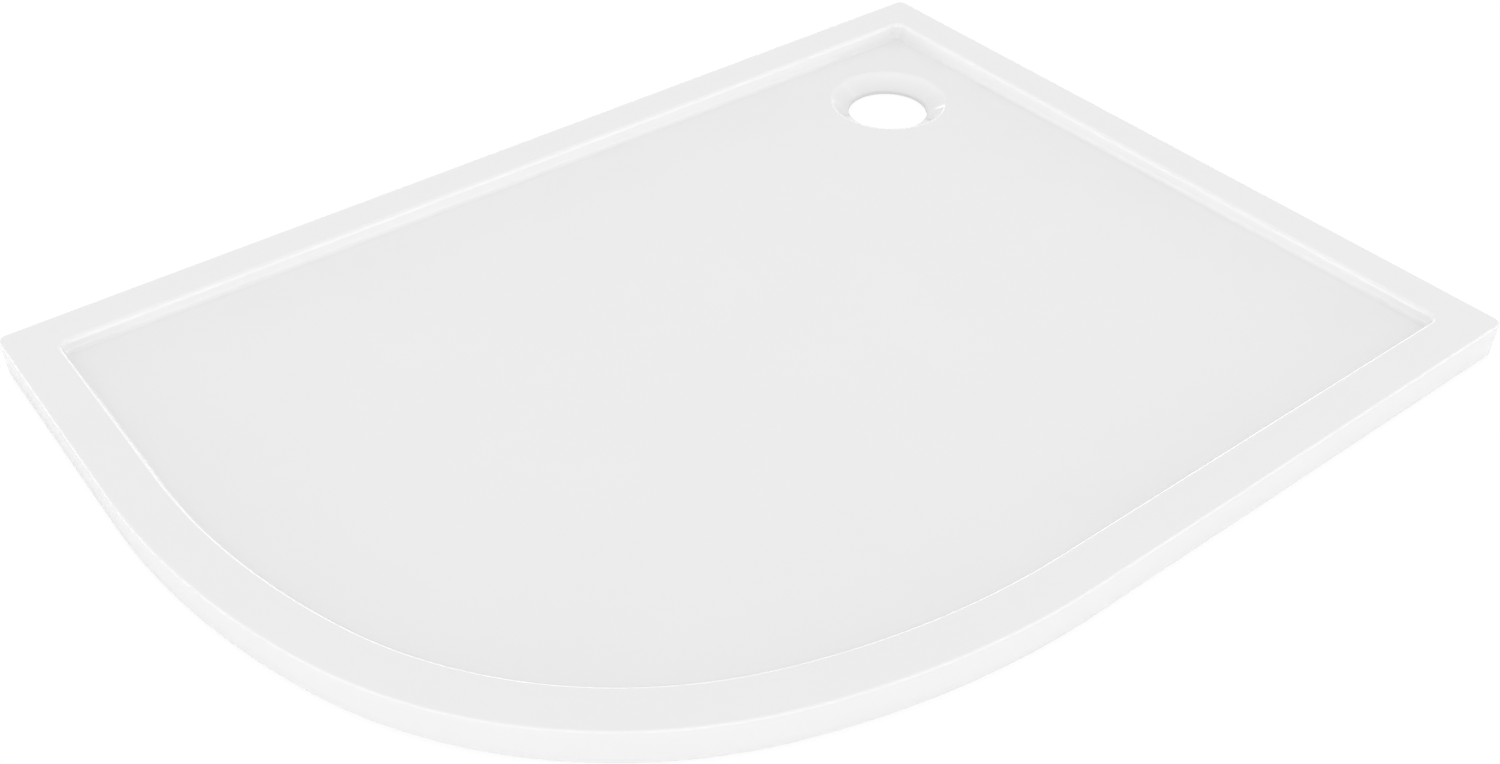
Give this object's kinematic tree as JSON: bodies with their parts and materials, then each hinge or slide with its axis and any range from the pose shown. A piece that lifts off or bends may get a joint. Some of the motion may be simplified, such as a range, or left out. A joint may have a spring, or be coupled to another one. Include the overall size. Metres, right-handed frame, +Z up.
{
  "type": "shower tray",
  "caption": "Low white offset quadrant shower tray with a flat rim, a shallow well that falls to a waste hole in the square corner, and hidden screw feet for levelling.",
  "frame": {"origin": "centre of the tray's length and width, at the level that it stands on", "axes": "+X along the long side towards the waste corner, +Y along the short side towards the waste corner, +Z up; the rounded corner is at -X -Y"},
  "size_m": [1.2, 0.9, 0.04],
  "materials": {
    "white_acrylic": "high gloss white sanitary acrylic",
    "glass_laminate": "rough sprayed glass-fibre and polyester laminate",
    "plywood": "bare birch plywood",
    "batten_wood": "planed softwood, straight grain",
    "zinc_steel": "bright zinc plated steel",
    "black_plastic": "moulded black polypropylene",
    "rubber": "matt black rubber"
  },
  "bodies": {
    "tray": {"acrylic_shell": "white_acrylic", "laminate_backing": "glass_laminate", "base_board": "plywood", "back_batten": "batten_wood", "end_batten": "batten_wood", "curved_batten": "plywood", "front_batten": "batten_wood", "side_batten": "batten_wood", "plate_screws": "zinc_steel", "foot_plate_1": "zinc_steel", "lock_nut_1": "zinc_steel", "foot_plate_2": "zinc_steel", "lock_nut_2": "zinc_steel", "foot_plate_3": "zinc_steel", "lock_nut_3": "zinc_steel", "foot_plate_4": "zinc_steel", "lock_nut_4": "zinc_steel", "foot_plate_5": "zinc_steel", "lock_nut_5": "zinc_steel", "foot_plate_6": "zinc_steel", "lock_nut_6": "zinc_steel", "foot_plate_7": "zinc_steel", "lock_nut_7": "zinc_steel", "foot_plate_8": "zinc_steel", "lock_nut_8": "zinc_steel"},
    "foot_1": {"pad_1": "black_plastic", "sole_1": "rubber"},
    "screw_1": {"stud_1": "zinc_steel"},
    "foot_2": {"pad_2": "black_plastic", "sole_2": "rubber"},
    "screw_2": {"stud_2": "zinc_steel"},
    "foot_3": {"pad_3": "black_plastic", "sole_3": "rubber"},
    "screw_3": {"stud_3": "zinc_steel"},
    "foot_4": {"pad_4": "black_plastic", "sole_4": "rubber"},
    "screw_4": {"stud_4": "zinc_steel"},
    "foot_5": {"pad_5": "black_plastic", "sole_5": "rubber"},
    "screw_5": {"stud_5": "zinc_steel"},
    "foot_6": {"pad_6": "black_plastic", "sole_6": "rubber"},
    "screw_6": {"stud_6": "zinc_steel"},
    "foot_7": {"pad_7": "black_plastic", "sole_7": "rubber"},
    "screw_7": {"stud_7": "zinc_steel"},
    "foot_8": {"pad_8": "black_plastic", "sole_8": "rubber"},
    "screw_8": {"stud_8": "zinc_steel"}
  },
  "joints": [
    {"name": "foot_1_lift", "type": "slide", "parent": "tray", "child": "foot_1", "axis": [0, 0, -1], "range_m": [0, 0.01]},
    {"name": "foot_1_turn", "type": "hinge", "parent": "foot_1", "child": "screw_1", "pos_m": [0.538, 0.4285, 0.015], "axis": [0, 0, -1], "range_deg": [0, 2400]},
    {"name": "foot_2_lift", "type": "slide", "parent": "tray", "child": "foot_2", "axis": [0, 0, -1], "range_m": [0, 0.01]},
    {"name": "foot_2_turn", "type": "hinge", "parent": "foot_2", "child": "screw_2", "pos_m": [0, 0.4285, 0.015], "axis": [0, 0, -1], "range_deg": [0, 2400]},
    {"name": "foot_3_lift", "type": "slide", "parent": "tray", "child": "foot_3", "axis": [0, 0, -1], "range_m": [0, 0.01]},
    {"name": "foot_3_turn", "type": "hinge", "parent": "foot_3", "child": "screw_3", "pos_m": [-0.538, 0.4285, 0.015], "axis": [0, 0, -1], "range_deg": [0, 2400]},
    {"name": "foot_4_lift", "type": "slide", "parent": "tray", "child": "foot_4", "axis": [0, 0, -1], "range_m": [0, 0.01]},
    {"name": "foot_4_turn", "type": "hinge", "parent": "foot_4", "child": "screw_4", "pos_m": [-0.5785, 0.201, 0.015], "axis": [0, 0, -1], "range_deg": [0, 2400]},
    {"name": "foot_5_lift", "type": "slide", "parent": "tray", "child": "foot_5", "axis": [0, 0, -1], "range_m": [0, 0.01]},
    {"name": "foot_5_turn", "type": "hinge", "parent": "foot_5", "child": "screw_5", "pos_m": [-0.42397, -0.27397, 0.015], "axis": [0, 0, -1], "range_deg": [0, 2400]},
    {"name": "foot_6_lift", "type": "slide", "parent": "tray", "child": "foot_6", "axis": [0, 0, -1], "range_m": [0, 0.01]},
    {"name": "foot_6_turn", "type": "hinge", "parent": "foot_6", "child": "screw_6", "pos_m": [0.051, -0.4285, 0.015], "axis": [0, 0, -1], "range_deg": [0, 2400]},
    {"name": "foot_7_lift", "type": "slide", "parent": "tray", "child": "foot_7", "axis": [0, 0, -1], "range_m": [0, 0.01]},
    {"name": "foot_7_turn", "type": "hinge", "parent": "foot_7", "child": "screw_7", "pos_m": [0.5785, -0.388, 0.015], "axis": [0, 0, -1], "range_deg": [0, 2400]},
    {"name": "foot_8_lift", "type": "slide", "parent": "tray", "child": "foot_8", "axis": [0, 0, -1], "range_m": [0, 0.01]},
    {"name": "foot_8_turn", "type": "hinge", "parent": "foot_8", "child": "screw_8", "pos_m": [0.5785, 0, 0.015], "axis": [0, 0, -1], "range_deg": [0, 2400]}
  ],
  "couplings": [
    {"joint": "foot_1_lift", "follows": "foot_1_turn", "m_per_rad": 0.00023873},
    {"joint": "foot_2_lift", "follows": "foot_2_turn", "m_per_rad": 0.00023873},
    {"joint": "foot_3_lift", "follows": "foot_3_turn", "m_per_rad": 0.00023873},
    {"joint": "foot_4_lift", "follows": "foot_4_turn", "m_per_rad": 0.00023873},
    {"joint": "foot_5_lift", "follows": "foot_5_turn", "m_per_rad": 0.00023873},
    {"joint": "foot_6_lift", "follows": "foot_6_turn", "m_per_rad": 0.00023873},
    {"joint": "foot_7_lift", "follows": "foot_7_turn", "m_per_rad": 0.00023873},
    {"joint": "foot_8_lift", "follows": "foot_8_turn", "m_per_rad": 0.00023873}
  ]
}
